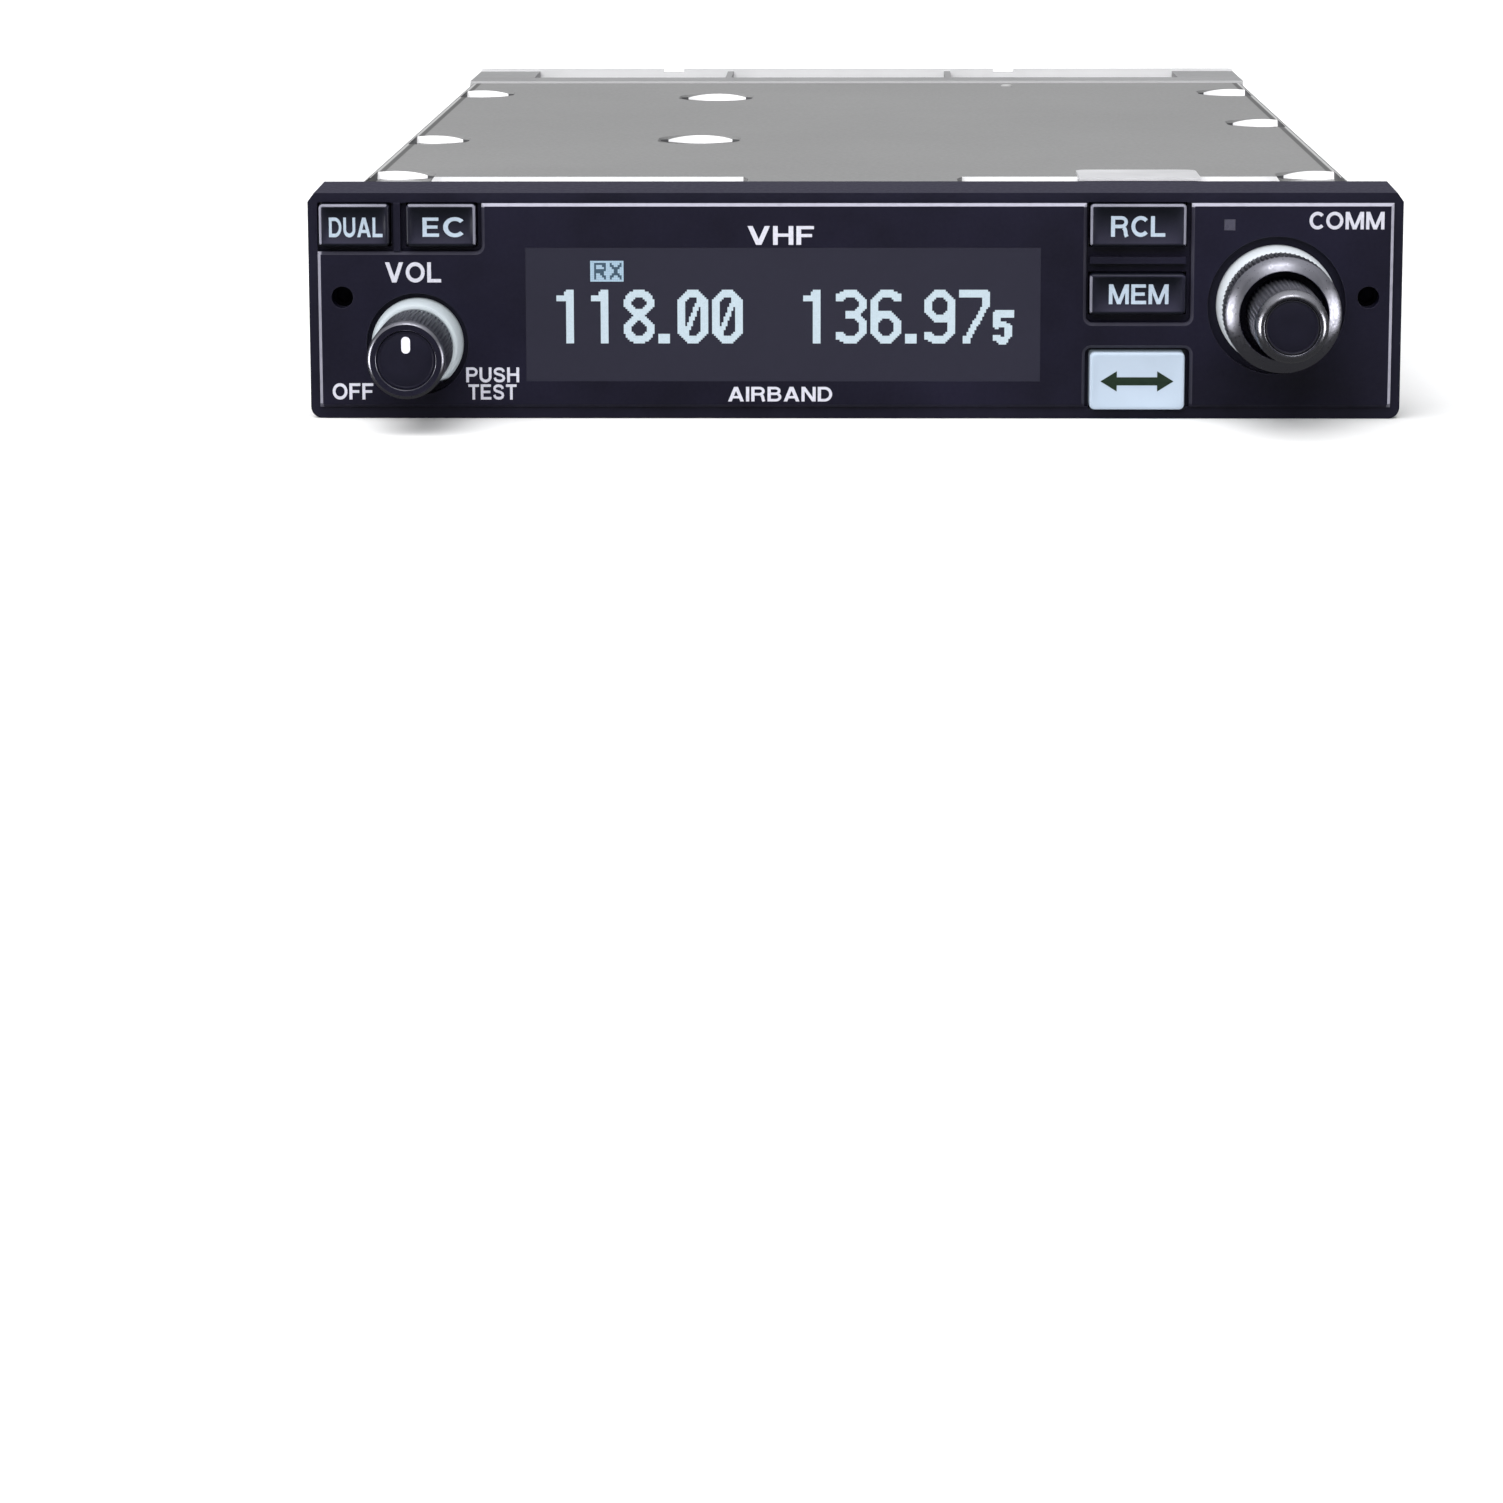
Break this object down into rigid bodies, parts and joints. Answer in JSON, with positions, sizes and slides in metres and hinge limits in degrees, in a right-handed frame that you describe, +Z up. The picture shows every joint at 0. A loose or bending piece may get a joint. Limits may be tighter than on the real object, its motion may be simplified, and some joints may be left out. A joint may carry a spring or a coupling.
{
  "type": "panel-mounted airband radio",
  "caption": "Flat rack-style airband radio with a dark keyed panel, wide display, volume knob, concentric tuning knobs and a long grey metal case.",
  "frame": {"origin": "centre of the bounding box's underside, on the surface the radio stands on", "axes": "+Z up, -Y towards the front panel and the pilot, +X to the right seen from the front"},
  "size_m": [0.16, 0.3084, 0.034],
  "materials": {
    "bezel_paint": "satin dark blue-black",
    "face_paint": "fine matt",
    "window_glass": "smoked, anti-glare",
    "lcd": "polished",
    "black_plastic": "moulded",
    "key_plastic": "satin",
    "lit_key": "translucent, back-lit",
    "light_guide": "translucent, back-lit",
    "sensor_lens": "polished",
    "silicone": "matt",
    "circuit_board": "solder mask",
    "knob_metal": "anodised, turned",
    "knob_face": "anodised, turned",
    "steel": "zinc plated",
    "encoder_body": "plated",
    "cast_aluminium": "cast, chromated",
    "cover_paint": "matt grey",
    "spring_steel": "bright",
    "tinplate": "tinned",
    "brass": "turned, nickel flash",
    "capacitor_sleeve": "shrink sleeve",
    "ceramic": "cap on a metal flange",
    "ribbon": "flat cable",
    "white_insulator": "turned"
  },
  "bodies": {
    "radio": {"antenna_connector": "brass", "antenna_connector_insulator": "white_insulator", "bezel_screws": "steel", "bottom_cover": "cover_paint", "bottom_cover_screws": "steel", "cover_standoffs": "brass", "data_connector_insert": "black_plastic", "data_connector_screws": "steel", "data_connector_shell": "tinplate", "display_frame": "black_plastic", "display_module": "lcd", "display_window": "window_glass", "front_bezel": "bezel_paint", "front_board": "circuit_board", "front_flange": "cast_aluminium", "front_ribbon_cable": "ribbon", "grounding_clip": "spring_steel", "heat_sink_screws": "steel", "if_shield_can": "tinplate", "keypad_left": "silicone", "keypad_right": "silicone", "light_plate": "face_paint", "light_sensor_lens": "sensor_lens", "main_board": "circuit_board", "main_board_screws": "steel", "power_amplifier_module": "ceramic", "processor_chip": "black_plastic", "rear_heat_sink": "cast_aluminium", "rear_plate": "cast_aluminium", "rf_shield_can": "tinplate", "ribbon_headers": "black_plastic", "side_rail_left": "cast_aluminium", "side_rail_right": "cast_aluminium", "supply_capacitors": "capacitor_sleeve", "top_cover": "cover_paint", "top_cover_screws": "steel", "tuning_encoder": "encoder_body", "tuning_light_ring": "light_guide", "tuning_nut": "steel", "volume_encoder": "encoder_body", "volume_light_ring": "light_guide", "volume_nut": "steel"},
    "volume_push": {"volume_plunger": "steel"},
    "volume_turn": {"volume_shaft": "steel", "volume_knob": "knob_metal", "volume_knob_cap": "knob_face"},
    "tuning_outer_turn": {"tuning_outer_shaft": "steel", "tuning_outer_knob": "knob_metal"},
    "tuning_inner_turn": {"tuning_inner_shaft": "steel", "tuning_inner_knob": "knob_metal", "tuning_knob_cap": "knob_face"},
    "lock_left": {"lock_screw_left": "steel", "lock_claw_left": "steel"},
    "lock_right": {"lock_screw_right": "steel", "lock_claw_right": "steel"},
    "dual_key": {"dual_button": "key_plastic"},
    "channel_key": {"channel_button": "key_plastic"},
    "recall_key": {"recall_button": "key_plastic"},
    "memory_key": {"memory_button": "key_plastic"},
    "swap_key": {"swap_button": "lit_key"}
  },
  "joints": [
    {"name": "volume_push", "type": "slide", "parent": "radio", "child": "volume_push", "axis": [0, 1, 0], "range_m": [0, 0.0006], "stiffness_N_per_m": 900, "springref_m": -0.0008},
    {"name": "volume_turn", "type": "hinge", "parent": "volume_push", "child": "volume_turn", "pos_m": [-0.0641, -0.13575, 0.011], "axis": [0, 1, 0], "range_deg": [-155, 130]},
    {"name": "tuning_outer_turn", "type": "hinge", "parent": "radio", "child": "tuning_outer_turn", "pos_m": [0.0617, -0.13475, 0.0167], "axis": [0, 1, 0], "continuous": true},
    {"name": "tuning_inner_turn", "type": "hinge", "parent": "radio", "child": "tuning_inner_turn", "pos_m": [0.0617, -0.14575, 0.0167], "axis": [0, 1, 0], "continuous": true},
    {"name": "lock_left_turn", "type": "hinge", "parent": "radio", "child": "lock_left", "pos_m": [-0.07505, -0.11375, 0.0179], "axis": [0, -1, 0], "range_deg": [0, 90]},
    {"name": "lock_right_turn", "type": "hinge", "parent": "radio", "child": "lock_right", "pos_m": [0.07505, -0.11375, 0.0179], "axis": [0, 1, 0], "range_deg": [0, 90]},
    {"name": "dual_key_press", "type": "slide", "parent": "radio", "child": "dual_key", "axis": [0, 1, 0], "range_m": [0, 0.0007], "stiffness_N_per_m": 1500, "springref_m": -0.0005},
    {"name": "channel_key_press", "type": "slide", "parent": "radio", "child": "channel_key", "axis": [0, 1, 0], "range_m": [0, 0.0007], "stiffness_N_per_m": 1500, "springref_m": -0.0005},
    {"name": "recall_key_press", "type": "slide", "parent": "radio", "child": "recall_key", "axis": [0, 1, 0], "range_m": [0, 0.0007], "stiffness_N_per_m": 1500, "springref_m": -0.0005},
    {"name": "memory_key_press", "type": "slide", "parent": "radio", "child": "memory_key", "axis": [0, 1, 0], "range_m": [0, 0.0007], "stiffness_N_per_m": 1500, "springref_m": -0.0005},
    {"name": "swap_key_press", "type": "slide", "parent": "radio", "child": "swap_key", "axis": [0, 1, 0], "range_m": [0, 0.0007], "stiffness_N_per_m": 1500, "springref_m": -0.0005}
  ]
}
